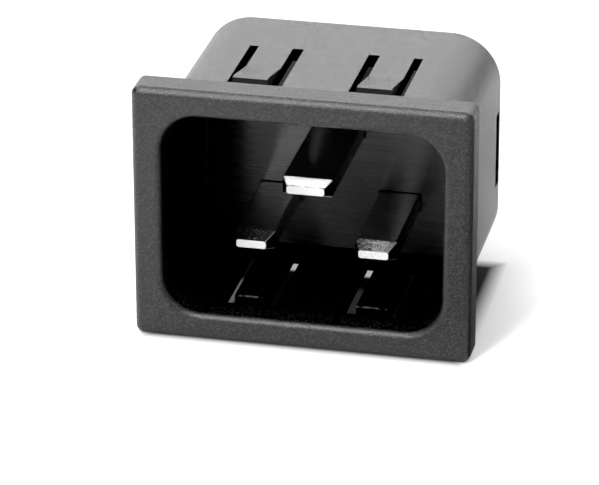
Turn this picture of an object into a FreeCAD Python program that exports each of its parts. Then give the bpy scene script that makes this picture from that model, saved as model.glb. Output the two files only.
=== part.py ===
import FreeCAD, Part
import math
import os

import Sketcher

# A snap-in appliance inlet: a moulded housing with a bezel flange, three blade contacts and a rear cover.
# The origin is the centre of the panel cut-out on the flange's rear face, which seats on the panel.
# -Y points out of the recess at the user, +Y into the equipment, +Z up, and the earth contact is above.

# Driving dimensions in millimetres.
DIMENSIONS = {
    # bezel flange
    "flange_width": 35.5,
    "flange_height": 27.8,
    "flange_thickness": 3.5,
    "flange_corner_radius": 0.9,
    "flange_edge_radius": 0.85,
    # recess for the connector, measured from the flange's front face
    "recess_width": 29.5,
    "recess_height": 22.1,
    "recess_depth": 19.8,
    "recess_corner_radius": 4.0,
    "mouth_radius": 0.7,
    # shell round the recess
    "wall_thickness": 1.4,
    "floor_thickness": 3.2,
    "rear_edge_chamfer": 0.4,
    # snap tongues in the top and bottom walls
    "tongue_spacing": 13.0,
    "tongue_width": 3.65,
    "tongue_length": 11.9,
    "inner_slit_width": 1.2,
    "outer_slit_width": 0.95,
    "panel_gap": 2.1,
    "window_gap": 1.9,
    "hook_height": 1.15,
    "hook_crest": 0.6,
    "hook_ramp": 5.6,
    # blade contacts
    "line_spacing": 13.0,
    "line_drop": 5.0,
    "line_blade_width": 4.5,
    "line_blade_length": 14.25,
    "line_tip_length": 1.65,
    "earth_rise": 3.0,
    "earth_blade_width": 5.3,
    "earth_blade_length": 17.4,
    "earth_tip_length": 1.2,
    "blade_thickness": 2.0,
    "blade_edge_radius": 0.25,
    "tip_thickness": 0.85,
    "tip_side_taper": 0.65,
    "tip_edge_radius": 0.15,
    "slot_clearance": 0.12,
    # shoulder that locks each contact behind the recess floor
    "shoulder_width": 7.6,
    "shoulder_length": 1.7,
    # quick-connect tabs
    "tab_width": 6.3,
    "tab_thickness": 0.8,
    "tab_length": 8.3,
    "tab_point_length": 1.3,
    "tab_point_taper": 0.95,
    "tab_edge_chamfer": 0.25,
    "tab_hole_diameter": 1.8,
    "tab_hole_inset": 3.85,
    # rear cover
    "cover_thickness": 3.0,
    "cover_clearance": 0.12,
    "collar_margin": 1.1,
    "collar_height": 1.2,
    "collar_radius": 0.8,
    "tab_clearance": 0.15,
    "barb_width": 8.0,
    "barb_length": 1.5,
    "barb_height": 0.75,
    "barb_land": 0.3,
    "barb_setback": 0.6,
    "barb_clearance": 0.15,
}

# Depths behind the panel seat, along +Y, worked out from the driving dimensions.
FLOOR_FRONT = "(Dimensions.recess_depth - Dimensions.flange_thickness)"
FLOOR_REAR = f"({FLOOR_FRONT} + Dimensions.floor_thickness)"
SHOULDER_FRONT = f"({FLOOR_REAR} - Dimensions.shoulder_length)"
HOUSING_REAR = f"({FLOOR_REAR} + Dimensions.cover_thickness)"
COVER_REAR = f"({HOUSING_REAR} + Dimensions.collar_height)"
TAB_END = f"({COVER_REAR} + Dimensions.tab_length)"

# The flange's narrowest border beside the recess limits the two rounded edges on its front face. The outer
# edge also stays rounder at the flange's corners than along its length.
BORDER = (
    "(min(Dimensions.flange_width - Dimensions.recess_width;"
    " Dimensions.flange_height - Dimensions.recess_height) / 2)"
)
CORNER_SHARE = 0.95
FLANGE_EDGE = (
    f"min(Dimensions.flange_edge_radius; {BORDER} / 2; Dimensions.flange_corner_radius * {CORNER_SHARE})"
)
MOUTH_EDGE = f"min(Dimensions.mouth_radius; {BORDER} / 3)"

# Each contact's node name, its place in the panel plane, and its own blade's sizes.
CONTACTS = {
    "line_contact": ("-Dimensions.line_spacing / 2", "-Dimensions.line_drop", "line"),
    "neutral_contact": ("Dimensions.line_spacing / 2", "-Dimensions.line_drop", "line"),
    "earth_contact": ("0", "Dimensions.earth_rise", "earth"),
}

# How near an edge must lie to a plane to count as on it.
EDGE_TOLERANCE = 1e-4


def make_sheet(doc):
    """The spreadsheet that drives every size."""
    sheet = doc.addObject("Spreadsheet::Sheet", "Dimensions")
    for row, (alias, value) in enumerate(DIMENSIONS.items(), start=1):
        sheet.set(f"A{row}", alias)
        sheet.set(f"B{row}", str(value))
        sheet.setAlias(f"B{row}", alias)
    doc.recompute()
    return sheet


def new_body(doc, label):
    body = doc.addObject("PartDesign::Body", label)
    body.Label = label
    return body


def origin_plane(body, role):
    return next(feature for feature in body.Origin.OriginFeatures if feature.Role == role)


def new_sketch(body, name, role, **shift):
    """A sketch on one of the body's origin planes, shifted along its own x, y or z by expressions.

    On XZ_Plane the sketch's x is +X, its y is +Z and its z is -Y, out of the recess.
    """
    sketch = body.newObject("Sketcher::SketchObject", name)
    sketch.AttachmentSupport = [(origin_plane(body, role), "")]
    sketch.MapMode = "FlatFace"
    for axis, expression in shift.items():
        sketch.setExpression(f"AttachmentOffset.Base.{axis}", expression)
    return sketch


def bind(sketch, constraint, expression):
    """Add a dimension to a sketch and tie it to an expression."""
    index = sketch.addConstraint(constraint)
    sketch.setExpression(f"Constraints[{index}]", expression)


def rounded_rectangle(sketch, width, height, radius):
    """A rectangle with rounded corners, centred on the sketch's origin."""
    w, h, r = (float(sketch.evalExpression(size)) for size in (width, height, radius))
    x, y = w / 2 - r, h / 2 - r
    sides = [
        (-x, -h / 2, x, -h / 2),
        (w / 2, -y, w / 2, y),
        (x, h / 2, -x, h / 2),
        (-w / 2, y, -w / 2, -y),
    ]
    for x0, y0, x1, y1 in sides:
        sketch.addGeometry(Part.LineSegment(FreeCAD.Vector(x0, y0), FreeCAD.Vector(x1, y1)))
    quarter = math.pi / 2
    for turn, (cx, cy) in enumerate([(x, -y), (x, y), (-x, y), (-x, -y)], start=-1):
        circle = Part.Circle(FreeCAD.Vector(cx, cy), FreeCAD.Vector(0, 0, 1), r)
        sketch.addGeometry(Part.ArcOfCircle(circle, turn * quarter, (turn + 1) * quarter))
    for side in range(4):
        arc = side + 4
        sketch.addConstraint(Sketcher.Constraint("Tangent", side, 2, arc, 1))
        sketch.addConstraint(Sketcher.Constraint("Tangent", arc, 2, (side + 1) % 4, 1))
        sketch.addConstraint(Sketcher.Constraint("Vertical" if side % 2 else "Horizontal", side))
        if side:
            sketch.addConstraint(Sketcher.Constraint("Equal", 4, arc))
    sketch.addConstraint(Sketcher.Constraint("Symmetric", 4, 3, 6, 3, -1, 1))
    bind(sketch, Sketcher.Constraint("DistanceX", 3, 1, 1, 1, w), width)
    bind(sketch, Sketcher.Constraint("DistanceY", 0, 1, 2, 1, h), height)
    bind(sketch, Sketcher.Constraint("Radius", 4, r), radius)


def polygon(sketch, corners):
    """A closed outline through corners given as pairs of expressions."""
    points = [tuple(float(sketch.evalExpression(size)) for size in corner) for corner in corners]
    first = sketch.GeometryCount
    for index, (x, y) in enumerate(points):
        u, v = points[(index + 1) % len(points)]
        sketch.addGeometry(Part.LineSegment(FreeCAD.Vector(x, y), FreeCAD.Vector(u, v)))
    for index, (x, y) in enumerate(points):
        line = first + index
        after = first + (index + 1) % len(points)
        sketch.addConstraint(Sketcher.Constraint("Coincident", line, 2, after, 1))
        bind(sketch, Sketcher.Constraint("DistanceX", -1, 1, line, 1, x), corners[index][0])
        bind(sketch, Sketcher.Constraint("DistanceY", -1, 1, line, 1, y), corners[index][1])


def circle(sketch, diameter):
    """A circle centred on the sketch's origin."""
    radius = float(sketch.evalExpression(diameter)) / 2
    sketch.addGeometry(Part.Circle(FreeCAD.Vector(0, 0), FreeCAD.Vector(0, 0, 1), radius))
    sketch.addConstraint(Sketcher.Constraint("Coincident", 0, 3, -1, 1))
    bind(sketch, Sketcher.Constraint("Diameter", 0, 2 * radius), diameter)


def pad(body, name, sketch, length, side="One side", reverse=False):
    feature = body.newObject("PartDesign::Pad", name)
    feature.Profile = sketch
    feature.SideType = side
    feature.Reversed = reverse
    feature.setExpression("Length", length)
    return feature


def pocket(body, name, sketch, length=None, side="One side", reverse=False):
    """Cut a sketch out of the body, to a length or through everything, and make sure that it cuts."""
    body.Document.recompute()
    before = body.Shape.Volume
    feature = body.newObject("PartDesign::Pocket", name)
    feature.Profile = sketch
    feature.SideType = side
    feature.Reversed = reverse
    if length is None:
        feature.Type = "ThroughAll"
    else:
        feature.setExpression("Length", length)
    body.Document.recompute()
    if not body.Shape.Volume < before:
        raise RuntimeError(f"{name} removes nothing")
    return feature


def mirror(body, name, features):
    """Repeat features on the other side of the body's middle plane."""
    feature = body.newObject("PartDesign::Mirrored", name)
    feature.Originals = features
    feature.MirrorPlane = (origin_plane(body, "YZ_Plane"), [""])
    body.Tip = feature
    return feature


def dress_edges(body, kind, name, size_name, size, wanted):
    """Round or chamfer the edges of the body's last feature that a test picks."""
    body.Document.recompute()
    base = body.Tip
    edges = [f"Edge{i}" for i, edge in enumerate(base.Shape.Edges, start=1) if wanted(edge.BoundBox)]
    feature = body.newObject(kind, name)
    feature.Base = (base, edges)
    feature.setExpression(size_name, size)
    return feature


def lies_at(box, y):
    return abs(box.YMin - y) < EDGE_TOLERANCE and abs(box.YMax - y) < EDGE_TOLERANCE


def within(box, width, height):
    """Does a box fit inside a centred rectangle of this width and height?"""
    half_width = width / 2 + EDGE_TOLERANCE
    half_height = height / 2 + EDGE_TOLERANCE
    return max(-box.XMin, box.XMax) < half_width and max(-box.ZMin, box.ZMax) < half_height


def make_housing(doc, sheet):
    """Flange, shell, recess, contact slots, cover seat and snap tongues in one moulding."""
    body = new_body(doc, "housing")
    front = -sheet.flange_thickness

    outline = new_sketch(body, "FlangeOutline", "XZ_Plane")
    rounded_rectangle(
        outline, "Dimensions.flange_width", "Dimensions.flange_height", "Dimensions.flange_corner_radius"
    )
    pad(body, "Flange", outline, "Dimensions.flange_thickness")
    dress_edges(
        body, "PartDesign::Fillet", "FlangeEdge", "Radius", FLANGE_EDGE,
        lambda box: lies_at(box, front),
    )

    shell = new_sketch(body, "ShellOutline", "XZ_Plane")
    rounded_rectangle(
        shell,
        "Dimensions.recess_width + 2 * Dimensions.wall_thickness",
        "Dimensions.recess_height + 2 * Dimensions.wall_thickness",
        "Dimensions.recess_corner_radius + Dimensions.wall_thickness",
    )
    pad(body, "Shell", shell, HOUSING_REAR, reverse=True)
    rear = float(sheet.evalExpression(HOUSING_REAR))
    dress_edges(
        body, "PartDesign::Chamfer", "RearEdge", "Size", "Dimensions.rear_edge_chamfer",
        lambda box: lies_at(box, rear),
    )

    mouth = new_sketch(body, "RecessOutline", "XZ_Plane", z="Dimensions.flange_thickness")
    rounded_rectangle(
        mouth, "Dimensions.recess_width", "Dimensions.recess_height", "Dimensions.recess_corner_radius"
    )
    pocket(body, "Recess", mouth, "Dimensions.recess_depth")
    dress_edges(
        body, "PartDesign::Fillet", "MouthEdge", "Radius", MOUTH_EDGE,
        lambda box: lies_at(box, front) and within(box, sheet.recess_width, sheet.recess_height),
    )

    seat = new_sketch(body, "CoverSeatOutline", "XZ_Plane", z=f"-{HOUSING_REAR}")
    rounded_rectangle(
        seat, "Dimensions.recess_width", "Dimensions.recess_height", "Dimensions.recess_corner_radius"
    )
    pocket(body, "CoverSeat", seat, "Dimensions.cover_thickness", reverse=True)

    for contact, (x, z, blade) in CONTACTS.items():
        cut_contact_slot(body, contact, x, z, blade)
    cut_barb_windows(body)
    make_tongues(body)
    return body


def cut_contact_slot(body, contact, x, z, blade):
    """A slot for a blade through the recess floor, wider behind for its shoulder."""
    play = "2 * Dimensions.slot_clearance"
    height = f"Dimensions.blade_thickness + {play}"
    radius = "Dimensions.blade_edge_radius"
    slot = new_sketch(body, f"{contact}_slot", "XZ_Plane", x=x, y=z, z=f"-{FLOOR_FRONT}")
    rounded_rectangle(slot, f"Dimensions.{blade}_blade_width + {play}", height, radius)
    pocket(body, f"{contact}_slot_cut", slot, "Dimensions.floor_thickness")
    seat = new_sketch(body, f"{contact}_seat", "XZ_Plane", x=x, y=z, z=f"-{FLOOR_REAR}")
    rounded_rectangle(seat, f"Dimensions.shoulder_width + {play}", height, radius)
    pocket(body, f"{contact}_seat_cut", seat, "Dimensions.shoulder_length", reverse=True)


def cut_barb_windows(body):
    """One window in each end of the skirt, for the rear cover's barbs."""
    middle = f"({FLOOR_REAR} + Dimensions.barb_setback + Dimensions.barb_length / 2)"
    window = new_sketch(body, "BarbWindow", "YZ_Plane", x=middle)
    rounded_rectangle(
        window,
        "Dimensions.barb_length + 2 * Dimensions.barb_clearance",
        "Dimensions.barb_width + 2 * Dimensions.barb_clearance",
        "Dimensions.barb_clearance",
    )
    pocket(body, "BarbWindows", window, side="Symmetric")


def make_tongues(body):
    """Four snap tongues: U-shaped slits through the top and bottom walls, and a hook on each free end.

    A tongue is rooted near the recess floor. Its free end looks at the flange across the panel's thickness.
    The slit on its side towards the housing's middle is the wider one.
    """
    free_end = "Dimensions.panel_gap"
    root = "(Dimensions.panel_gap + Dimensions.tongue_length)"
    near = "-Dimensions.tongue_width / 2"
    far = "Dimensions.tongue_width / 2"
    inner = f"({near} - Dimensions.inner_slit_width)"
    outer = f"({far} + Dimensions.outer_slit_width)"
    slit = new_sketch(body, "TongueSlit", "XY_Plane", x="Dimensions.tongue_spacing / 2")
    window_front = "(Dimensions.panel_gap - Dimensions.window_gap)"
    polygon(
        slit,
        [
            (inner, window_front),
            (outer, window_front),
            (outer, root),
            (far, root),
            (far, free_end),
            (near, free_end),
            (near, root),
            (inner, root),
        ],
    )
    slits = pocket(body, "TongueSlits", slit, side="Symmetric")

    inside = "Dimensions.recess_height / 2"
    outside = f"({inside} + Dimensions.wall_thickness)"
    crest = f"({outside} + Dimensions.hook_height)"
    crest_end = f"({free_end} + Dimensions.hook_crest)"
    ramp_end = f"({crest_end} + Dimensions.hook_ramp)"
    profile = [
        (free_end, inside),
        (ramp_end, inside),
        (ramp_end, outside),
        (crest_end, crest),
        (free_end, crest),
    ]
    hook = new_sketch(body, "HookProfile", "YZ_Plane", z="Dimensions.tongue_spacing / 2")
    polygon(hook, profile)
    polygon(hook, [(y, f"-{z}") for y, z in profile])
    hooks = pad(body, "Hooks", hook, "Dimensions.tongue_width", side="Symmetric")
    mirror(body, "OtherTongues", [slits, hooks])


def make_contact(doc, label, x, z, blade):
    """A blade with a coined tip, its shoulder behind the recess floor, and a tab for a push-on terminal."""
    body = new_body(doc, label)
    width = f"Dimensions.{blade}_blade_width"
    tip = f"({FLOOR_FRONT} - Dimensions.{blade}_blade_length)"
    tip_start = f"({tip} + Dimensions.{blade}_tip_length)"

    section = new_sketch(body, f"{label}_section", "XZ_Plane", z=f"-{SHOULDER_FRONT}")
    rounded_rectangle(section, width, "Dimensions.blade_thickness", "Dimensions.blade_edge_radius")
    pad(body, f"{label}_blade", section, f"{SHOULDER_FRONT} - {tip_start}")

    tip_root = new_sketch(body, f"{label}_tip_root", "XZ_Plane", z=f"-{tip_start}")
    rounded_rectangle(tip_root, width, "Dimensions.blade_thickness", "Dimensions.blade_edge_radius")
    tip_face = new_sketch(body, f"{label}_tip_face", "XZ_Plane", z=f"-{tip}")
    rounded_rectangle(
        tip_face,
        f"{width} - 2 * Dimensions.tip_side_taper",
        "Dimensions.tip_thickness",
        "Dimensions.tip_edge_radius",
    )
    loft = body.newObject("PartDesign::AdditiveLoft", f"{label}_tip")
    loft.Profile = tip_root
    loft.Sections = [tip_face]
    loft.Ruled = True

    shoulder = new_sketch(body, f"{label}_shoulder_outline", "XZ_Plane", z=f"-{SHOULDER_FRONT}")
    rounded_rectangle(
        shoulder, "Dimensions.shoulder_width", "Dimensions.blade_thickness", "Dimensions.blade_edge_radius"
    )
    pad(body, f"{label}_shoulder", shoulder, "Dimensions.shoulder_length", reverse=True)

    add_tab(body, label)
    body.setExpression("Placement.Base.x", x)
    body.setExpression("Placement.Base.z", z)
    return body


def add_tab(body, label):
    """The flat tab behind the shoulder, with a pointed end, a detent hole and chamfered leading edges."""
    half = "Dimensions.tab_width / 2"
    point = f"({half} - Dimensions.tab_point_taper)"
    taper_start = f"({TAB_END} - Dimensions.tab_point_length)"
    outline = new_sketch(body, f"{label}_tab_outline", "XY_Plane")
    polygon(
        outline,
        [
            (f"-{half}", FLOOR_REAR),
            (half, FLOOR_REAR),
            (half, taper_start),
            (point, TAB_END),
            (f"-{point}", TAB_END),
            (f"-{half}", taper_start),
        ],
    )
    pad(body, f"{label}_tab", outline, "Dimensions.tab_thickness", side="Symmetric")
    end = float(body.evalExpression(TAB_END))
    dress_edges(
        body, "PartDesign::Chamfer", f"{label}_tab_lead", "Size", "Dimensions.tab_edge_chamfer",
        lambda box: lies_at(box, end) and box.XLength > box.ZLength,
    )
    hole = new_sketch(body, f"{label}_detent", "XY_Plane", y=f"{TAB_END} - Dimensions.tab_hole_inset")
    circle(hole, "Dimensions.tab_hole_diameter")
    pocket(body, f"{label}_detent_hole", hole, side="Symmetric")


def make_rear_cover(doc):
    """A plate in the skirt that holds the shoulders down, with a collar round each tab and a barb at each end."""
    body = new_body(doc, "rear_cover")
    gap = "2 * Dimensions.cover_clearance"
    plate = new_sketch(body, "CoverOutline", "XZ_Plane", z=f"-{FLOOR_REAR}")
    rounded_rectangle(
        plate,
        f"Dimensions.recess_width - {gap}",
        f"Dimensions.recess_height - {gap}",
        "Dimensions.recess_corner_radius - Dimensions.cover_clearance",
    )
    pad(body, "Cover", plate, "Dimensions.cover_thickness", reverse=True)

    for contact, (x, z, _) in CONTACTS.items():
        add_collar(body, contact, x, z)

    edge = "(Dimensions.recess_width / 2 - Dimensions.cover_clearance)"
    crest = f"({edge} + Dimensions.barb_height)"
    ramp_start = f"({FLOOR_REAR} + Dimensions.barb_setback)"
    catch = f"({ramp_start} + Dimensions.barb_length)"
    barb = new_sketch(body, "BarbProfile", "XY_Plane")
    polygon(
        barb,
        [
            (f"{edge} - Dimensions.barb_height", ramp_start),
            (edge, ramp_start),
            (crest, f"({catch} - Dimensions.barb_land)"),
            (crest, catch),
            (f"{edge} - Dimensions.barb_height", catch),
        ],
    )
    barbs = pad(body, "Barb", barb, "Dimensions.barb_width", side="Symmetric")
    mirror(body, "OtherBarb", [barbs])
    return body


def add_collar(body, contact, x, z):
    """A raised collar on the cover round one tab, and the tab's slot through both."""
    slot_width = "(Dimensions.tab_width + 2 * Dimensions.tab_clearance)"
    slot_height = "(Dimensions.tab_thickness + 2 * Dimensions.tab_clearance)"
    collar = new_sketch(body, f"{contact}_collar", "XZ_Plane", x=x, y=z, z=f"-{HOUSING_REAR}")
    rounded_rectangle(
        collar,
        f"{slot_width} + 2 * Dimensions.collar_margin",
        f"{slot_height} + 2 * Dimensions.collar_margin",
        "Dimensions.collar_radius",
    )
    pad(body, f"{contact}_collar_pad", collar, "Dimensions.collar_height", reverse=True)
    slot = new_sketch(body, f"{contact}_tab_slot", "XZ_Plane", x=x, y=z, z=f"-{COVER_REAR}")
    rounded_rectangle(slot, slot_width, slot_height, "Dimensions.tab_clearance")
    pocket(body, f"{contact}_tab_slot_cut", slot, reverse=True)


def check_document(doc, bodies):
    """Stop if any feature failed, or if a piece isn't one valid solid."""
    failed = [item.Name for item in doc.Objects if {"Invalid", "Error"} & set(item.State)]
    if failed:
        raise RuntimeError(f"features failed: {failed}")
    for body in bodies:
        shape = body.Shape
        if shape.isNull() or not shape.isValid() or len(shape.Solids) != 1:
            raise RuntimeError(f"{body.Label} is not one valid solid")


def main():
    doc = FreeCAD.newDocument("panel_inlet")
    sheet = make_sheet(doc)
    bodies = [make_housing(doc, sheet), make_rear_cover(doc)]
    for label, (x, z, blade) in CONTACTS.items():
        bodies.append(make_contact(doc, label, x, z, blade))
    doc.recompute()
    check_document(doc, bodies)
    os.makedirs("parts", exist_ok=True)
    for body in bodies:
        body.Shape.exportStep(f"parts/{body.Label}.step")
        print(f"{body.Label}: {body.Shape.Volume:.1f} mm3, {len(body.Shape.Faces)} faces")


main()
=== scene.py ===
# %% [markdown]
# # A snap-in panel power inlet
# The object is a black moulded housing with a wide bezel, three flat plated blades in a deep recess, and
# a rear cover with push-on tabs. The solids are already there at their real size, in metres, so this
# lesson gives them their finish, their light and the photograph's view. We load them first and keep their
# box.

# %% Load the solids
import math

import bmesh
import bpy
from mathutils import Matrix, Vector


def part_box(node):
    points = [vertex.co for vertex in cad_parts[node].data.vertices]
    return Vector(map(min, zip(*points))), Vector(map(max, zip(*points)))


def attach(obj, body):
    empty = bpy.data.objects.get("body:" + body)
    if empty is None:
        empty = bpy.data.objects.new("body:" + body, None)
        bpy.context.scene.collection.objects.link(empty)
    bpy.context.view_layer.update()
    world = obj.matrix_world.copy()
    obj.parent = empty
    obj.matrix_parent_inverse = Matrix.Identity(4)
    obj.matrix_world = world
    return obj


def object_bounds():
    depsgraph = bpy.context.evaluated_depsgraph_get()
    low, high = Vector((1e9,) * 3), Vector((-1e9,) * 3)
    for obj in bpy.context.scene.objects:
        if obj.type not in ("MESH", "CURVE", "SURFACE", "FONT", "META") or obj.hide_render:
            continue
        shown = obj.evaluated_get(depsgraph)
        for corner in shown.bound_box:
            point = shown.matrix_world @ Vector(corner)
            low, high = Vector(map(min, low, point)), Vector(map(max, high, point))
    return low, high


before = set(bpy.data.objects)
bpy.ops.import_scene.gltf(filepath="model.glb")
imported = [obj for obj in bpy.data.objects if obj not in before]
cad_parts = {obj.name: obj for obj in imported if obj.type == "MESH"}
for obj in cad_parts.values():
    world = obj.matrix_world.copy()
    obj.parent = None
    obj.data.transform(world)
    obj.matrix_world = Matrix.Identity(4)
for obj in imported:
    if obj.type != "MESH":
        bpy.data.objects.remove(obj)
cad_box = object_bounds()
MM = 0.001
scene = bpy.context.scene
front_y, rear_y = [corner.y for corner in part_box("housing")]
floor_z = cad_box[0].z
print("solids:", sorted(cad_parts), "front face at", round(front_y / MM, 2), "mm")

# %% [markdown]
# ## The camera
# The photograph was taken from a little above and to the right, with a long lens: the flange's edges
# hardly converge. A camera fitted to the corners of the blades and to the edges of the flange and the
# recess gave the angles, the distance and the focal length in pixels of the picture. Blender wants the
# focal length in millimetres of its sensor.

# %% Camera
PICTURE_WIDTH = 599
FOCAL_PIXELS = 3837.1
VIEW_AZIMUTH = math.radians(12.69)
VIEW_ELEVATION = math.radians(24.44)
VIEW_ROLL = math.radians(-0.15)
VIEW_DISTANCE = 392.7 * MM
view_target = Vector((-0.08 * MM, front_y, -1.72 * MM))
to_camera = Vector((
    math.sin(VIEW_AZIMUTH) * math.cos(VIEW_ELEVATION),
    -math.cos(VIEW_AZIMUTH) * math.cos(VIEW_ELEVATION),
    math.sin(VIEW_ELEVATION),
))
camera_data = bpy.data.cameras.new("camera")
camera_data.sensor_fit = "HORIZONTAL"
camera_data.lens = FOCAL_PIXELS / PICTURE_WIDTH * camera_data.sensor_width
camera = bpy.data.objects.new("camera", camera_data)
camera.location = view_target + to_camera * VIEW_DISTANCE
facing = (-to_camera).to_track_quat("-Z", "Y").to_matrix()
camera.rotation_euler = (facing @ Matrix.Rotation(VIEW_ROLL, 3, "Z")).to_euler()
scene.collection.objects.link(camera)
scene.camera = camera
scene.view_settings.view_transform = "Standard"
print("lens", round(camera_data.lens, 1), "mm at", round(VIEW_DISTANCE, 3), "m")

# %% [markdown]
# ## Small helpers for node trees
# A material is a tree of nodes. Writing each node, its values and its links on separate lines hides the
# idea behind the plumbing, so one helper places a node, fills in its settings and links its inputs. The
# others wrap the three nodes that masks are made of: arithmetic, a change of range and a blend.


# %% Node helpers
def place(tree, kind, settings=None, links=None):
    """Add a node, set its properties or input values by name, and link sockets to its inputs."""
    node = tree.nodes.new(kind)
    for key, value in (settings or {}).items():
        if hasattr(node, key):
            setattr(node, key, value)
        else:
            node.inputs[key].default_value = value
    for key, socket in (links or {}).items():
        tree.links.new(socket, node.inputs[key])
    return node


def feed(tree, value, socket):
    """Set an input to a number, or link another socket to it."""
    if isinstance(value, (int, float)):
        socket.default_value = value
    else:
        tree.links.new(value, socket)


def math_node(tree, operation, *values):
    """Arithmetic on numbers or sockets."""
    node = place(tree, "ShaderNodeMath", {"operation": operation})
    for value, socket in zip(values, node.inputs):
        feed(tree, value, socket)
    return node.outputs[0]


def remap(tree, value, low, high, to_low, to_high):
    """A clamped linear change of range."""
    ranges = {"From Min": low, "From Max": high, "To Min": to_low, "To Max": to_high}
    return place(tree, "ShaderNodeMapRange", ranges, {"Value": value}).outputs["Result"]


def mix_values(tree, factor, first, second):
    """A blend of two numbers or sockets."""
    node = place(tree, "ShaderNodeMix")
    for value, index in ((factor, 0), (first, 2), (second, 3)):
        feed(tree, value, node.inputs[index])
    return node.outputs[0]


print("node helpers ready")

# %% [markdown]
# ## A material to start from
# Every finish below starts in the same way: an empty tree with one shader wired to the surface, and the
# point's place in the object's own frame. A pattern on those coordinates stays where it is on the piece.
# Many finishes then need a noise, often one that is stretched along an axis.

# %% Material helpers
NOISE_RANGE = (0.3, 0.7)


def new_material(name):
    """An empty material, its tree and its shader, with the shader wired to the surface."""
    material = bpy.data.materials.new(name)
    material.use_nodes = True
    tree = material.node_tree
    tree.nodes.clear()
    output = tree.nodes.new("ShaderNodeOutputMaterial")
    shader = tree.nodes.new("ShaderNodeBsdfPrincipled")
    tree.links.new(shader.outputs[0], output.inputs["Surface"])
    return material, tree, shader


def object_position(tree):
    """The point's place in the object's own frame, as one vector and as x, y and z."""
    position = place(tree, "ShaderNodeTexCoord").outputs["Object"]
    axes = place(tree, "ShaderNodeSeparateXYZ", None, {"Vector": position}).outputs
    return position, *axes


def noise(tree, vector, scale, detail):
    """A noise pattern's value, mostly within NOISE_RANGE."""
    node = place(tree, "ShaderNodeTexNoise", {"Scale": scale, "Detail": detail}, {"Vector": vector})
    return node.outputs[0]


def stretched_noise(tree, vector, stretch, scale, detail):
    """A noise that is drawn out along the axes with a small factor."""
    mapping = place(tree, "ShaderNodeMapping", {"Scale": stretch}, {"Vector": vector})
    return noise(tree, mapping.outputs[0], scale, detail)


print("noise mostly within", NOISE_RANGE)

# %% [markdown]
# ## Pieces of the studio
# The floor, and later two cards, stand around the object without being part of it. Each is one flat
# polygon with a matt skin that throws no highlight.

# %% Studio helpers
WHITE = (1, 1, 1, 1)
MATT_ROUGHNESS = 0.9


def flat_mesh(name, corners, z):
    """A flat polygon facing up, its corners given as (x, y)."""
    mesh = bpy.data.meshes.new(name)
    bm = bmesh.new()
    bm.faces.new([bm.verts.new((x, y, z)) for x, y in corners])
    bm.to_mesh(mesh)
    bm.free()
    return mesh


def stage_piece(name, mesh, material):
    """Something of the studio, which isn't part of the object."""
    piece = bpy.data.objects.new(name, mesh)
    mesh.materials.append(material)
    scene.collection.objects.link(piece)
    return piece


def matt_material(name):
    """A material with no gloss at all."""
    material, tree, shader = new_material(name)
    shader.inputs["Roughness"].default_value = MATT_ROUGHNESS
    shader.inputs["Specular IOR Level"].default_value = 0.0
    return material, tree, shader


print("studio helpers ready")

# %% [markdown]
# ## The floor
# The object stands on a white table and the picture's background is pure white. The floor is matt and lit
# by the lamps, so it keeps a soft shadow, and a small glow for the camera lifts it to pure white. Mirror
# images get that glow only away from the object. Far out, where the lamps hardly reach, the floor glows
# by itself for the camera, so that a low view has no grey horizon. Under the body hardly any light
# arrives, and what does shows through the slits of the snap tongues, as two bright dots and two thin
# slivers. Such light takes many bounces to find, so we paint it: a shade as large as the body, and in it
# a few patches that glow.

# %% Floor
FLOOR_CORNERS = ((-2.0, -2.0), (2.0, -2.0), (2.0, 2.0), (-2.0, 2.0))
FLOOR_WHITE, FLOOR_GLOW = 0.8, 0.4
MIRROR_NEAR, MIRROR_FAR = 8 * MM, 40 * MM
HORIZON_NEAR, HORIZON_FAR = 250 * MM, 800 * MM
SHADE_HALF_WIDTH = 15.5 * MM
SHADE_MIDDLE, SHADE_HALF_DEPTH = 9 * MM, 11.5 * MM
SHADE_FADE, SHADE_SHARE = 2 * MM, 0.08
PATCH_SIDE_FADE = 0.3 * MM
# Each patch: x of its middle, half width, near end, far end and the fade of its ends in millimetres, and
# its glow.
LIT_PATCHES = (
    (-9.95, 0.3, 4.6, 12.6, 1.4, 0.115),
    (-5.4, 1.2, 15.1, 18.0, 0.6, 0.42),
    (2.8, 1.2, 5.4, 12.6, 1.2, 0.022),
    (2.8, 1.2, 15.1, 18.0, 0.6, 0.42),
)


def outside_shade(tree, x, y):
    """0 in the shade under the body, 1 outside it."""
    beside = math_node(tree, "SUBTRACT", math_node(tree, "ABSOLUTE", x), SHADE_HALF_WIDTH)
    along = math_node(tree, "ABSOLUTE", math_node(tree, "SUBTRACT", y, SHADE_MIDDLE))
    along = math_node(tree, "SUBTRACT", along, SHADE_HALF_DEPTH)
    return remap(tree, math_node(tree, "MAXIMUM", beside, along), 0.0, SHADE_FADE, 0.0, 1.0)


def lit_patch(tree, x, y, middle, half_width, near, far, fade, glow):
    """The glow of one patch, which fades at its edges."""
    across = math_node(tree, "ABSOLUTE", math_node(tree, "SUBTRACT", x, middle * MM))
    inside = remap(tree, across, half_width * MM, half_width * MM + PATCH_SIDE_FADE, glow, 0.0)
    rise = remap(tree, y, near * MM, (near + fade) * MM, 0.0, 1.0)
    fall = remap(tree, y, (far - fade) * MM, far * MM, 1.0, 0.0)
    return math_node(tree, "MULTIPLY", inside, math_node(tree, "MULTIPLY", rise, fall))


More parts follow.
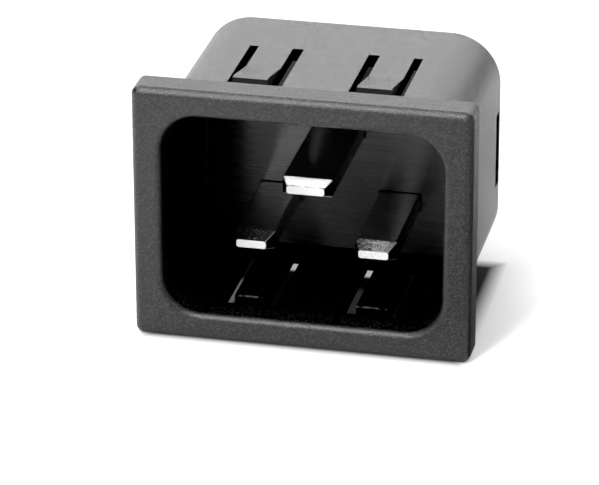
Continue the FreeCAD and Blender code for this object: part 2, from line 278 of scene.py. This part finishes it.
def floor_glow(tree, position, x, y, outside):
    """How strongly the floor glows, for the camera and in mirror images."""
    path = place(tree, "ShaderNodeLightPath").outputs
    # painted shade: near the object mirror images get no glow, for the floor that lies in the object's
    # shadow there
    far = remap(tree, math_node(tree, "ABSOLUTE", y), MIRROR_NEAR, MIRROR_FAR, 0.0, 1.0)
    mirrored = math_node(tree, "MULTIPLY", path["Is Glossy Ray"], far)
    seen = math_node(tree, "MAXIMUM", path["Is Camera Ray"], mirrored)
    seen = math_node(tree, "MAXIMUM", seen, path["Is Transmission Ray"])
    glow = math_node(tree, "MULTIPLY", outside, FLOOR_GLOW)
    for patch in LIT_PATCHES:
        glow = math_node(tree, "MAXIMUM", glow, lit_patch(tree, x, y, *patch))
    length = place(tree, "ShaderNodeVectorMath", {"operation": "LENGTH"}, {0: position})
    horizon = remap(tree, length.outputs["Value"], HORIZON_NEAR, HORIZON_FAR, 0.0, 1.0)
    horizon = math_node(tree, "MULTIPLY", horizon, path["Is Camera Ray"])
    return math_node(tree, "MAXIMUM", math_node(tree, "MULTIPLY", seen, glow), horizon)


def make_floor():
    """The white floor with the painted shade and its lit patches."""
    material, tree, shader = matt_material("floor_white")
    position, x, y, _ = object_position(tree)
    outside = outside_shade(tree, x, y)
    white = remap(tree, outside, 0.0, 1.0, SHADE_SHARE * FLOOR_WHITE, FLOOR_WHITE)
    tree.links.new(white, shader.inputs["Base Color"])
    shader.inputs["Emission Color"].default_value = WHITE
    strength = floor_glow(tree, position, x, y, outside)
    tree.links.new(strength, shader.inputs["Emission Strength"])
    stage_piece("floor", flat_mesh("floor", FLOOR_CORNERS, floor_z), material)


make_floor()
print("floor at", round(floor_z / MM, 2), "mm with", len(LIT_PATCHES), "lit patches")

# %% [markdown]
# ## The light
# The picture was lit for contrast. A tall narrow strip at the front left gives the bezel its even grey
# and lets the blades' tips flash. A box overhead and a wide one low behind brighten what looks up, such
# as the top of the flange, and a small one at the right draws the thin line on the right rim of the
# recess. The world is white only for the camera. To the object it gives a faint even light.

# %% World and lamps
WORLD_LIGHT = 0.08
# Each box: name, direction from the object, then distance, width and height in metres, and brightness.
SOFT_BOXES = (
    ("key_box", (-0.252, -0.674, 0.695), 0.85, 0.14, 0.7, 18.5),
    ("top_box", (-0.2, -0.15, 0.97), 0.85, 0.6, 0.5, 5.5),
    ("back_box", (-0.2, 0.888, 0.4), 0.9, 1.4, 0.55, 2.95),
    ("glint_box", (0.62, -0.5, 0.6), 0.85, 0.15, 0.15, 8.0),
)


def make_world():
    """White for the camera, and a faint even light for the object."""
    world = bpy.data.worlds.new("studio")
    world.use_nodes = True
    tree = world.node_tree
    background = tree.nodes["Background"]
    path = place(tree, "ShaderNodeLightPath").outputs
    strength = remap(tree, path["Is Camera Ray"], 0.0, 1.0, WORLD_LIGHT, 1.0)
    background.inputs["Color"].default_value = WHITE
    tree.links.new(strength, background.inputs["Strength"])
    scene.world = world


def soft_box(name, direction, distance, width, height, brightness):
    """A rectangular lamp that the camera doesn't see, turned at the object."""
    data = bpy.data.lights.new(name, "AREA")
    data.shape = "RECTANGLE"
    data.size = width
    data.size_y = height
    data.energy = brightness * math.pi * width * height
    lamp = bpy.data.objects.new(name, data)
    lamp.location = Vector(direction).normalized() * distance
    lamp.rotation_euler = (-lamp.location).to_track_quat("-Z", "Y").to_euler()
    lamp.visible_camera = False
    scene.collection.objects.link(lamp)


make_world()
for box in SOFT_BOXES:
    soft_box(*box)

# %% [markdown]
# ## Cards
# In black plastic, what is mirrored matters as much as the light: a photographer's black card at the
# right makes the dark line down the flange's right edge, and a grey one in front tones the lower right of
# the bezel. Only mirror rays see them, so they throw no shadow and tint nothing else.

# %% Cards
# Each card: name, grey, then height over the floor and corners (x, y) in millimetres.
CARDS = (
    ("black_card", 0.01, 0.4, ((17.9, -3.5), (95, -25), (95, 70), (28, 70))),
    ("grey_card", 0.25, 0.3, ((8, -60), (90, -60), (90, -10), (8, -10))),
)


def make_card(name, grey, lift, corners):
    """A card lying just over the floor that only mirror rays see."""
    material, _, shader = matt_material(name)
    shader.inputs["Base Color"].default_value = (grey, grey, grey, 1)
    outline = [(x * MM, y * MM) for x, y in corners]
    card = stage_piece(name, flat_mesh(name, outline, floor_z + lift * MM), material)
    card.visible_camera = False
    card.visible_diffuse = False
    card.visible_transmission = False
    card.visible_shadow = False


for card in CARDS:
    make_card(*card)
print("cards:", [card[0] for card in CARDS])

# %% [markdown]
# ## Spark-eroded grain
# The bezel of the real moulding has a fine dull grain: the mould was eroded by sparks, which leaves tiny
# round craters, and the plastic copies them as low domes. Each cell of a Voronoi pattern is one dome, and
# its own random number makes a few of them taller, which is what sparkles. A slow noise makes patches,
# which the materials use to vary their gloss. Several materials share this, so it is a node group.

# %% Grain group
DOME_ROUND, DOME_BASE, DOME_CONTRAST = 2.0, 0.45, 4.0
FINE_SHARE, FINE_DETAIL = 1.7, 2.0
PATCH_SHARE, PATCH_DETAIL = 0.12, 4.0


def shared_noise(group, vector, scale, share, detail):
    """A noise whose scale is a share of the grain's."""
    links = {"Vector": vector, "Scale": math_node(group, "MULTIPLY", scale, share)}
    return place(group, "ShaderNodeTexNoise", {"Detail": detail}, links).outputs[0]


def make_grain_group():
    """The group that gives the height of the domes, and slow patches."""
    group = bpy.data.node_groups.new("spark_grain", "ShaderNodeTree")
    sockets = group.interface
    sockets.new_socket("Vector", in_out="INPUT", socket_type="NodeSocketVector")
    sockets.new_socket("Grain Size mm", in_out="INPUT", socket_type="NodeSocketFloat")
    sockets.new_socket("Height", in_out="OUTPUT", socket_type="NodeSocketFloat")
    sockets.new_socket("Patches", in_out="OUTPUT", socket_type="NodeSocketFloat")
    given = group.nodes.new("NodeGroupInput").outputs
    result = group.nodes.new("NodeGroupOutput").inputs
    vector = given["Vector"]
    scale = math_node(group, "DIVIDE", 1 / MM, given["Grain Size mm"])
    cells = place(group, "ShaderNodeTexVoronoi", None, {"Vector": vector, "Scale": scale}).outputs
    dome = math_node(group, "SUBTRACT", 1.0, math_node(group, "POWER", cells["Distance"], DOME_ROUND))
    chance = place(group, "ShaderNodeSeparateColor", None, {"Color": cells["Color"]}).outputs[0]
    taller = math_node(group, "ADD", DOME_BASE, math_node(group, "POWER", chance, DOME_CONTRAST))
    fine = shared_noise(group, vector, scale, FINE_SHARE, FINE_DETAIL)
    group.links.new(math_node(group, "MULTIPLY_ADD", dome, taller, fine), result["Height"])
    patches = shared_noise(group, vector, scale, PATCH_SHARE, PATCH_DETAIL)
    group.links.new(patches, result["Patches"])
    return group


def use_grain(tree, vector, size_mm):
    """Place the grain in a material and give back its outputs."""
    node = place(tree, "ShaderNodeGroup", {"node_tree": grain_group})
    node.inputs["Grain Size mm"].default_value = size_mm
    tree.links.new(vector, node.inputs["Vector"])
    return node.outputs


grain_group = make_grain_group()
print("group", grain_group.name, "made")

# %% [markdown]
# ## A painted highlight on the tongues
# A slit round each snap tongue sets it free. At the tongue's free end the inner edge catches the light as
# a thin broken pale line. That edge is finer than anything in the mesh, so a mask paints the highlight
# into the colour, as a narrow band along that edge that a noise breaks up.

# %% Painted highlight on the tongues
TONGUE_MIDDLE, TONGUE_HALF_WIDTH, TONGUE_END = 6.5 * MM, 1.8 * MM, 5.6 * MM
HIGHLIGHT_SIZE, HIGHLIGHT_MARGIN = 0.12 * MM, 0.02 * MM
HIGHLIGHT_SCALE, HIGHLIGHT_DETAIL, HIGHLIGHT_BREAKS = 1500.0, 2.0, (0.42, 0.55)


def tongue_edge_highlight(tree, position, x, depth, outside):
    """The painted highlight: a broken line on the inner edge of each tongue's free end."""
    behind = math_node(tree, "SUBTRACT", depth, TONGUE_END)
    near = math_node(tree, "LESS_THAN", math_node(tree, "MAXIMUM", behind, outside), HIGHLIGHT_SIZE)
    near = math_node(tree, "MULTIPLY", near, math_node(tree, "GREATER_THAN", behind, -HIGHLIGHT_MARGIN))
    aside = math_node(tree, "SUBTRACT", math_node(tree, "ABSOLUTE", x), TONGUE_MIDDLE)
    aside = math_node(tree, "LESS_THAN", math_node(tree, "ABSOLUTE", aside), TONGUE_HALF_WIDTH)
    broken = noise(tree, position, HIGHLIGHT_SCALE, HIGHLIGHT_DETAIL)
    broken = remap(tree, broken, *HIGHLIGHT_BREAKS, 0.0, 1.0)
    return math_node(tree, "MULTIPLY", broken, math_node(tree, "MULTIPLY", near, aside))


print("tongue ends", round(TONGUE_END / MM, 2), "mm behind the front")

# %% [markdown]
# ## Zones of the moulding
# One moulding has several finishes, each left by its own part of the mould. Spark-eroded steel formed the
# bezel and the shell. The core that formed the recess was polished, and little light reaches deep inside,
# so its walls carry a painted shade: they are painted near black. The grain only reaches over the rounded
# mouth in a few last specks, and its tall domes there are painted pale, as painted glints. The end of
# that core was rubbed from side to side, which scored the recess floor. We could cut the mesh into
# regions, but masks from the object's own coordinates follow the roundings better: the depth behind the
# front, and the distance from the outline of the recess. The painted glints and the painted highlight on
# the tongues are both pale, so they share a mask.

# %% Zones
RECESS_HALF_WIDTH, RECESS_HALF_HEIGHT, RECESS_CORNER = 14.75 * MM, 11.05 * MM, 4.0 * MM
MOUTH_REACH, SLIT_REACH = 0.45 * MM, 1.36 * MM
SHELL_FROM, SHELL_TO = -0.05 * MM, 0.05 * MM
BLACK_FROM, BLACK_TO = 0.5 * MM, 0.8 * MM
TALL_GRAIN, SPECK_SHARE, SPECK_END = (1.0, 1.5), 0.4, 4.0 * MM
POLISH_FROM, POLISH_TO = 0.5 * MM, 4.5 * MM
SCORED_FROM, SCORED_TO = 19.72 * MM, 19.76 * MM


def outside_rounded(tree, x, z, half_width, half_height, corner):
    """How far a point lies outside a rounded rectangle. It is negative inside."""
    right = math_node(tree, "SUBTRACT", math_node(tree, "ABSOLUTE", x), half_width - corner)
    up = math_node(tree, "SUBTRACT", math_node(tree, "ABSOLUTE", z), half_height - corner)
    right = math_node(tree, "MAXIMUM", right, 0.0)
    up = math_node(tree, "MAXIMUM", up, 0.0)
    aside = place(tree, "ShaderNodeCombineXYZ", None, {"X": right, "Z": up}).outputs[0]
    length = place(tree, "ShaderNodeVectorMath", {"operation": "LENGTH"}, {0: aside}).outputs["Value"]
    return math_node(tree, "SUBTRACT", length, corner)


def zone(tree, within, depth, start, end):
    """The part of the recess that lies deeper than a start, with a soft border."""
    return math_node(tree, "MULTIPLY", within, remap(tree, depth, start, end, 0.0, 1.0))


def housing_zones(tree, position, x, y, z, grain):
    """Depth behind the front, and masks.

    They are the shell, the recess's painted shade without what is pale in it, its walls without the
    painted highlight on the tongues, what is pale (painted glints and that painted highlight), the
    polish, and the scored floor.
    """
    depth = math_node(tree, "SUBTRACT", y, front_y)
    shell = remap(tree, y, SHELL_FROM, SHELL_TO, 0.0, 1.0)
    outside = outside_rounded(tree, x, z, RECESS_HALF_WIDTH, RECESS_HALF_HEIGHT, RECESS_CORNER)
    reach = mix_values(tree, shell, MOUTH_REACH, SLIT_REACH)
    within = math_node(tree, "LESS_THAN", outside, reach)
    # painted shade: from just behind the mouth, the recess is painted near black
    recess = zone(tree, within, depth, BLACK_FROM, BLACK_TO)
    # painted glints: tall domes of grain just inside the mouth are painted pale, fewer with depth
    fewer = remap(tree, depth, BLACK_TO, SPECK_END, SPECK_SHARE, 0.0)
    painted_specks = math_node(tree, "MULTIPLY", remap(tree, grain["Height"], *TALL_GRAIN, 0.0, 1.0), fewer)
    # painted highlight along the inner edge of each tongue's free end
    edge_highlight = tongue_edge_highlight(tree, position, x, depth, outside)
    clean = math_node(tree, "MULTIPLY", recess, math_node(tree, "SUBTRACT", 1.0, edge_highlight))
    painted_highlights = math_node(tree, "MULTIPLY", recess, math_node(tree, "MAXIMUM", painted_specks, edge_highlight))
    recess_shade = math_node(tree, "SUBTRACT", recess, painted_highlights)
    polish = zone(tree, within, depth, POLISH_FROM, POLISH_TO)
    scored = zone(tree, within, depth, SCORED_FROM, SCORED_TO)
    return depth, shell, recess_shade, clean, painted_highlights, polish, scored


print("recess", 2 * RECESS_HALF_WIDTH / MM, "x", 2 * RECESS_HALF_HEIGHT / MM, "mm")

# %% [markdown]
# ## The housing's plastic
# Black plastic shows little colour of its own, so its look is in the gloss. The bezel's grain is dull,
# and its colour follows the grain's height, darker in the hollows and lighter on tall domes: a painted
# shade and painted glints. Its rounded edges are worn a little shinier, which is a thin clear coat here.
# The recess walls carry a painted shade: a metal with no colour mirrors nothing, and its specular tint is
# black too, or it would shine when seen along the wall. The scores on the recess floor run from side to
# side, so they spread the light up and down. Grooves in a bump that fine also blur it sideways, so the
# shader's own highlight is stretched along z instead, and a noise drawn out along x gives it streaks.

# %% Housing material
HOUSING_GRAIN_MM, HOUSING_BUMP, SHELL_GRAIN_SHARE = 0.17, 0.04 * MM, 0.8
BEZEL_GREY, WALL_BLACK = 0.0155, 0.001
SPECK_HEIGHTS, SPECK_TONES, SHELL_TONE, HIGHLIGHT_TONE = (0.65, 1.4), (0.0, 3.2), 1.4, 8.0
PLASTIC_IOR = 1.55
BEZEL_ROUGH, SHELL_ROUGH, WALL_ROUGH, SCORED_ROUGH = (0.29, 0.37), 0.27, 0.5, (0.23, 0.3)
EDGE_FROM, EDGE_TO = (0.02 * MM, 0.1 * MM), (0.75 * MM, 0.95 * MM)
EDGE_COAT, EDGE_COAT_ROUGH = 0.27, 0.3
STREAK_STRETCH, STREAK_SCALE, STREAK_DETAIL = (0.04, 1.0, 1.0), 3500.0, 3.0


def make_housing_plastic():
    """The housing's material, with a finish for each zone."""
    material, tree, shader = new_material("housing_black")
    shader.inputs["IOR"].default_value = PLASTIC_IOR
    shader.inputs["Coat Roughness"].default_value = EDGE_COAT_ROUGH
    position, x, y, z = object_position(tree)
    grain = use_grain(tree, position, HOUSING_GRAIN_MM)
    depth, shell, recess_shade, clean, painted_highlights, polish, scored = housing_zones(tree, position, x, y, z, grain)

    # painted shade and painted glints: the bezel's colour is darker in the hollows and lighter on tall
    # domes
    painted_specks = remap(tree, grain["Height"], *SPECK_HEIGHTS, *SPECK_TONES)
    # painted shade: in the recess the tone drops to 0, so only WALL_BLACK is left as its colour
    tone = mix_values(tree, recess_shade, mix_values(tree, shell, painted_specks, SHELL_TONE), 0.0)
    # the painted glints and the painted highlight on the tongues get a pale tone
    tone = mix_values(tree, painted_highlights, tone, HIGHLIGHT_TONE)
    grey = math_node(tree, "MULTIPLY_ADD", tone, BEZEL_GREY, WALL_BLACK)
    tree.links.new(grey, shader.inputs["Base Color"])
    # painted shade: the recess walls become a metal with no colour and a black specular tint, so they
    # reflect nothing
    wall = math_node(tree, "SUBTRACT", 1.0, scored)
    tree.links.new(math_node(tree, "MULTIPLY", recess_shade, wall), shader.inputs["Metallic"])
    sheenless = math_node(tree, "MULTIPLY", clean, wall)
    tree.links.new(math_node(tree, "SUBTRACT", 1.0, sheenless), shader.inputs["Specular Tint"])
    worn = remap(tree, depth, *EDGE_FROM, 0.0, EDGE_COAT)
    worn = math_node(tree, "MULTIPLY", worn, remap(tree, depth, *EDGE_TO, 1.0, 0.0))
    tree.links.new(worn, shader.inputs["Coat Weight"])

    streaks = stretched_noise(tree, position, STREAK_STRETCH, STREAK_SCALE, STREAK_DETAIL)
    streaks = remap(tree, streaks, *NOISE_RANGE, *SCORED_ROUGH)
    dull = remap(tree, grain["Patches"], *NOISE_RANGE, *BEZEL_ROUGH)
    dull = mix_values(tree, shell, dull, SHELL_ROUGH)
    rough = mix_values(tree, polish, dull, mix_values(tree, scored, WALL_ROUGH, streaks))
    tree.links.new(rough, shader.inputs["Roughness"])
    upward = place(tree, "ShaderNodeCombineXYZ", {"Z": 1.0}).outputs[0]
    tree.links.new(upward, shader.inputs["Tangent"])
    tree.links.new(scored, shader.inputs["Anisotropic"])

    grain_share = mix_values(tree, polish, mix_values(tree, shell, 1.0, SHELL_GRAIN_SHARE), 0.0)
    height = math_node(tree, "MULTIPLY", grain["Height"], grain_share)
    bump = place(tree, "ShaderNodeBump", {"Distance": HOUSING_BUMP}, {"Height": height})
    tree.links.new(bump.outputs[0], shader.inputs["Normal"])
    return material


def dress(node, material):
    """Give a solid its finish."""
    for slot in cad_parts[node].material_slots:
        slot.material = material
    print(node, "wears", material.name)


dress("housing", make_housing_plastic())

# %% [markdown]
# ## The rear cover's plastic
# The cover is a separate moulding of the same black plastic. Nobody sees it once the inlet is fitted, so
# its mould got a plain satin skin: a coarser and much lower grain, and gloss that drifts in slow patches.
# The grain group gives both.

# %% Cover material
COVER_BLACK = (0.03, 0.03, 0.031, 1.0)
COVER_GRAIN_MM, COVER_BUMP = 0.25, 0.015 * MM
COVER_ROUGH = (0.34, 0.44)


def make_cover_plastic():
    """The rear cover's satin material."""
    material, tree, shader = new_material("cover_black")
    position = object_position(tree)[0]
    grain = use_grain(tree, position, COVER_GRAIN_MM)
    shader.inputs["Base Color"].default_value = COVER_BLACK
    rough = remap(tree, grain["Patches"], *NOISE_RANGE, *COVER_ROUGH)
    tree.links.new(rough, shader.inputs["Roughness"])
    bump = place(tree, "ShaderNodeBump", {"Distance": COVER_BUMP}, {"Height": grain["Height"]})
    tree.links.new(bump.outputs[0], shader.inputs["Normal"])
    return material


cover_plastic = make_cover_plastic()
dress("rear_cover", cover_plastic)

# %% [markdown]
# ## Terminal marks
# The back of such an inlet tells its terminals apart: L, N and the earth sign stand in low relief beside
# the tabs. The maker of the mould engraves them with one cutter, so every stroke has the same width and
# height. We make each stroke a low bar with softened edges, sunk a little into the cover, whose outer
# face is level with the housing's rear. Seen from behind, x runs to the left, so the drawings are turned
# over as they are placed.

# %% Marks
STROKE_WIDTH, STROKE_BEVEL, BEVEL_SEGMENTS = 0.4 * MM, 0.06 * MM, 2
MARK_HEIGHT, MARK_SINK, MARK_LIFT = 0.2 * MM, 0.05 * MM, 3.9 * MM
# Strokes from end to end, as (right, up) in millimetres.
LETTER_L = (((-0.6, 1.1), (-0.6, -1.1)), ((-0.6, -1.1), (0.7, -1.1)))
LETTER_N = (((-0.7, -1.1), (-0.7, 1.1)), ((-0.7, 1.1), (0.7, -1.1)), ((0.7, -1.1), (0.7, 1.1)))
EARTH_SIGN = (
    ((0, 1.2), (0, 0.1)),
    ((-1.0, 0.1), (1.0, 0.1)),
    ((-0.6, -0.5), (0.6, -0.5)),
    ((-0.2, -1.1), (0.2, -1.1)),
)
TERMINAL_MARKS = {
    "line_contact": LETTER_L,
    "neutral_contact": LETTER_N,
    "earth_contact": EARTH_SIGN,
}


def add_stroke(bm, start, end):
    """A low bar between two points (x, z) of the cover's face."""
    run = end - start
    thick = MARK_HEIGHT + MARK_SINK
    bar = bmesh.ops.create_cube(bm, size=1.0)["verts"]
    bmesh.ops.scale(bm, verts=bar, vec=(run.length + STROKE_WIDTH, thick, STROKE_WIDTH))
    turn = Matrix.Rotation(-math.atan2(run.y, run.x), 3, "Y")
    bmesh.ops.rotate(bm, verts=bar, cent=(0, 0, 0), matrix=turn)
    middle = (start + end) / 2
    bmesh.ops.translate(bm, verts=bar, vec=(middle.x, rear_y - MARK_SINK + thick / 2, middle.y))


def make_marks(name, material):
    """All marks as one piece, each above its own tab."""
    mesh = bpy.data.meshes.new(name)
    bm = bmesh.new()
    for node, strokes in TERMINAL_MARKS.items():
        low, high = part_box(node)
        middle = Vector(((low.x + high.x) / 2, (low.z + high.z) / 2 + MARK_LIFT))
        for ends in strokes:
            add_stroke(bm, *[middle + Vector((-right, up)) * MM for right, up in ends])
    bmesh.ops.bevel(
        bm,
        geom=bm.edges[:],
        offset=STROKE_BEVEL,
        segments=BEVEL_SEGMENTS,
        profile=0.5,
        affect="EDGES",
        material=-1,
    )
    bmesh.ops.recalc_face_normals(bm, faces=bm.faces[:])
    bm.to_mesh(mesh)
    bm.free()
    mesh.materials.append(material)
    marks = bpy.data.objects.new(name, mesh)
    scene.collection.objects.link(marks)
    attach(marks, "root")
    print(name, "with", len(mesh.polygons), "faces")


make_marks("terminal_marks", cover_plastic)

# %% [markdown]
# ## The tips of the blades
# A press coins the blades' ends thin, so that they find their way into the connector. Seen from the
# front, a tip is a small upright face with rounded corners, a sloping face above it, and a facet at each
# side. The mesh leaves the corners square, so they are painted near black, a painted shade for their
# rounding, and the facets are painted dark, a painted reflection of the dark around them. Just above
# where the two faces meet, a thin broken band is painted darker, and the press rubs one rim of the slope
# rough. The solids have the faces, and masks tell them apart, so that each gets its own skin.

# %% Masks of a tip
TIP_TAPER = 0.65 * MM
TIP_HALF_THICKNESS, TIP_CORNER, CORNER_FADE = 0.425 * MM, 0.4 * MM, 0.08 * MM
TIP_FADE, FACE_MARGIN, FACET_MARGIN = 0.03 * MM, 0.01 * MM, 0.04 * MM
RIM_FROM, RIM_TO = -0.2 * MM, -0.1 * MM
EDGE_LINE_FROM, EDGE_LINE_TO = 0.1 * MM, 0.16 * MM
EDGE_LINE_BREAKS = (0.35, 0.55)


def tip_masks(tree, x, y, z, hammered, low, high, width, length):
    """Masks of the coined tip, its side facets, its rough right rim, its front corners for the painted
    shade, and the thin darker band.
    """
    middle = (low + high) / 2
    half_width = width / 2
    tip_end = low.y + length
    coined = remap(tree, y, tip_end - TIP_FADE, tip_end + TIP_FADE, 1.0, 0.0)
    right = math_node(tree, "SUBTRACT", x, middle.x)
    up = math_node(tree, "SUBTRACT", z, middle.z)
    edge = remap(tree, y, low.y, tip_end, half_width - TIP_TAPER, half_width)
    beyond = math_node(tree, "SUBTRACT", math_node(tree, "ABSOLUTE", right), edge)
    facet = math_node(tree, "GREATER_THAN", beyond, -FACET_MARGIN)
    rim = remap(tree, math_node(tree, "SUBTRACT", right, edge), RIM_FROM, RIM_TO, 0.0, 1.0)

    slope = math_node(tree, "GREATER_THAN", y, low.y + FACE_MARGIN)
    face = math_node(tree, "SUBTRACT", 1.0, slope)
    # painted shade: the upright face's square corners are masked to be painted near black
    corner = outside_rounded(tree, right, up, half_width - TIP_TAPER, TIP_HALF_THICKNESS, TIP_CORNER)
    corner = math_node(tree, "MULTIPLY", remap(tree, corner, 0.0, CORNER_FADE, 0.0, 1.0), face)
    # a thin broken band just above the upright face, painted darker
    edge_line = remap(tree, y, low.y + EDGE_LINE_FROM, low.y + EDGE_LINE_TO, 1.0, 0.0)
    edge_line = math_node(tree, "MULTIPLY", edge_line, slope)
    edge_line = math_node(tree, "MULTIPLY", edge_line, remap(tree, hammered, *EDGE_LINE_BREAKS, 0.0, 1.0))
    return coined, facet, rim, corner, edge_line


print("coined tips", 2 * TIP_HALF_THICKNESS / MM, "mm thick")

# %% [markdown]
# ## Nickel on brass
# The contacts are stamped from rolled brass strip and plated with bright nickel. Rolling leaves fine
# lines along the strip, which show in the gloss. The coined tips have a rougher, slightly hammered skin,
# and some of their slopes come out a little tilted. The three come from different strokes of the press,
# so each tip scatters the light in its own way, and one material with a few values for each blade gives
# them all. Behind the cover, the tabs are satin.

# %% Contact material
LINE_STRETCH, LINE_SCALE, LINE_DETAIL, LINE_DEPTH = (1.0, 0.04, 1.0), 9000.0, 3.0, 0.0015
HAMMER_SCALE, HAMMER_DETAIL, HAMMER_DEPTH = 3000.0, 3.0, 0.035
BLADE_ROUGH, TAB_ROUGH, TAB_GREY = (0.05, 0.09), (0.28, 0.36), 0.65
TAB_FROM, TAB_TO = 17 * MM, 18 * MM
TIP_ROUGH_SPREAD, TIP_HIGHLIGHT_SHARES = 0.06, (0.7, 1.23)
FACET_SHADE_GREY, FACET_ROUGH, CORNER_SHADE_GREY, RIM_ROUGH = 0.3, 0.12, 0.02, 0.45
TILT_RUN = 2 * MM
# Each blade: width and tip length in millimetres, its tip's roughness and tilt, and the greys of its tip,
# its thin darker band and its blade. The earth blade is painted much darker, a painted shade that keeps
# its top black.
BLADES = {
    "earth_contact": (5.3, 1.2, 0.4, 0.5, 0.78, 0.12, 0.1),
    "line_contact": (4.5, 1.65, 0.12, 0.0, 0.72, 0.72, 0.5),
    "neutral_contact": (4.5, 1.65, 0.28, 0.1, 0.88, 0.88, 0.5),
}


def make_nickel(node, width, tip_length, tip_rough, tip_tilt, tip_grey, edge_line_grey, blade_grey):
    """The plating of one contact: its blade, its tip and its tab."""
    material, tree, shader = new_material(node.replace("contact", "nickel"))
    shader.inputs["Metallic"].default_value = 1.0
    low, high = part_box(node)
    tip_end = low.y + tip_length * MM
    position, x, y, z = object_position(tree)
    lines = stretched_noise(tree, position, LINE_STRETCH, LINE_SCALE, LINE_DETAIL)
    hammered = noise(tree, position, HAMMER_SCALE, HAMMER_DETAIL)
    coined, facet, rim, corner, edge_line = tip_masks(
        tree, x, y, z, hammered, low, high, width * MM, tip_length * MM
    )
    tab = remap(tree, y, TAB_FROM, TAB_TO, 0.0, 1.0)

    # painted highlight: each tip's grey rises from its left side to its right, for the light its right
    # edge catches
    tip = remap(tree, x, low.x, high.x, *[share * tip_grey for share in TIP_HIGHLIGHT_SHARES])
    # the thin band just above the upright face gets its own grey
    tip = mix_values(tree, edge_line, tip, edge_line_grey)
    # painted reflection: the side facets are painted dark grey, for the dark around them that they mirror
    tip = mix_values(tree, facet, tip, FACET_SHADE_GREY)
    # painted shade on the front corners of the tip
    tip = mix_values(tree, corner, tip, CORNER_SHADE_GREY)
    # the blade grey of the earth contact is a painted shade
    grey = mix_values(tree, coined, mix_values(tree, tab, blade_grey, TAB_GREY), tip)
    tree.links.new(grey, shader.inputs["Base Color"])

    rolled = remap(tree, lines, *NOISE_RANGE, *BLADE_ROUGH)
    rolled = mix_values(tree, tab, rolled, remap(tree, lines, *NOISE_RANGE, *TAB_ROUGH))
    spread = (tip_rough - TIP_ROUGH_SPREAD, tip_rough + TIP_ROUGH_SPREAD)
    pressed = remap(tree, hammered, *NOISE_RANGE, *spread)
    pressed = mix_values(tree, facet, mix_values(tree, rim, pressed, RIM_ROUGH), FACET_ROUGH)
    tree.links.new(mix_values(tree, coined, rolled, pressed), shader.inputs["Roughness"])

    tilt = remap(tree, y, tip_end - TILT_RUN, tip_end, 0.0, tip_tilt)
    skin = math_node(tree, "MULTIPLY_ADD", hammered, HAMMER_DEPTH, tilt)
    skin = mix_values(tree, facet, skin, 0.0)
    height = mix_values(tree, coined, math_node(tree, "MULTIPLY", lines, LINE_DEPTH), skin)
    bump = place(tree, "ShaderNodeBump", {"Distance": MM}, {"Height": height})
    tree.links.new(bump.outputs[0], shader.inputs["Normal"])
    return material


for contact, finish in BLADES.items():
    dress(contact, make_nickel(contact, *finish))
